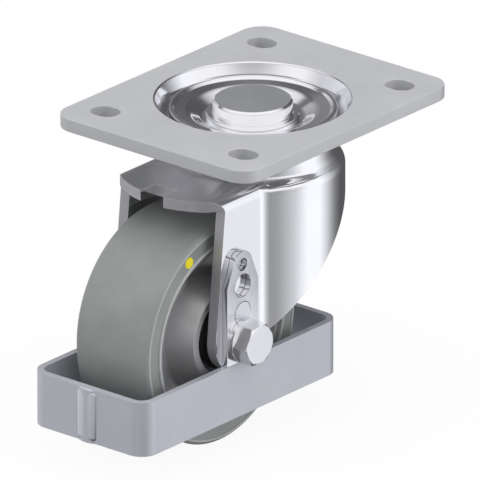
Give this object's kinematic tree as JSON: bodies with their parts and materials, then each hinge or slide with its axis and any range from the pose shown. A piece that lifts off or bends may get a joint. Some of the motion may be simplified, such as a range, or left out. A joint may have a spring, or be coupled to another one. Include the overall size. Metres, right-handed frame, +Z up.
{
  "type": "swivel caster",
  "caption": "Plate-mounted swivel caster with a pressed fork, a solid-tyred wheel on ball bearings and a welded foot guard round the wheel.",
  "frame": {"origin": "centre of the top plate's mounting face, on the swivel axis", "axes": "+X along the wheel axle, +Y opposite to the trail of the wheel, +Z up out of the mounting face"},
  "size_m": [0.11, 0.1822, 0.14],
  "materials": {
    "zinc_plate": "satin zinc",
    "pin_steel": "turned, bright",
    "race_steel": "turned",
    "fastener_zinc": "bright zinc",
    "fork_zinc": "bright zinc",
    "ball_steel": "polished",
    "tube_steel": "drawn tube",
    "bearing_steel": "ground",
    "seal_rubber": "matt",
    "rim_metal": "cast, smooth",
    "tyre_rubber": "matt grey",
    "bracket_zinc": "zinc",
    "locating_pin_steel": "bright",
    "guard_zinc": "matt zinc"
  },
  "bodies": {
    "mount": {"top_plate": "zinc_plate", "king_pin": "pin_steel", "lower_race": "race_steel", "king_washer": "fastener_zinc", "king_nut": "fastener_zinc"},
    "fork_set": {"fork": "fork_zinc", "upper_balls": "ball_steel", "lower_balls": "ball_steel", "axle_bolt": "fastener_zinc", "axle_nut": "fastener_zinc", "axle_washers": "fastener_zinc", "axle_tube": "tube_steel", "bearing_spacer": "tube_steel", "bearing_inner_rings": "bearing_steel", "bearing_balls": "ball_steel", "guard_bracket_right": "bracket_zinc", "guard_bracket_left": "bracket_zinc", "locating_pins": "locating_pin_steel", "foot_guard": "guard_zinc"},
    "wheel": {"wheel_rim": "rim_metal", "tyre": "tyre_rubber", "bearing_outer_rings": "bearing_steel", "bearing_seals": "seal_rubber"}
  },
  "joints": [
    {"name": "swivel", "type": "hinge", "parent": "mount", "child": "fork_set", "pos_m": [0, 0, 0], "axis": [0, 0, 1], "continuous": true},
    {"name": "wheel_spin", "type": "hinge", "parent": "fork_set", "child": "wheel", "pos_m": [0, -0.045, -0.09], "axis": [1, 0, 0], "continuous": true}
  ]
}
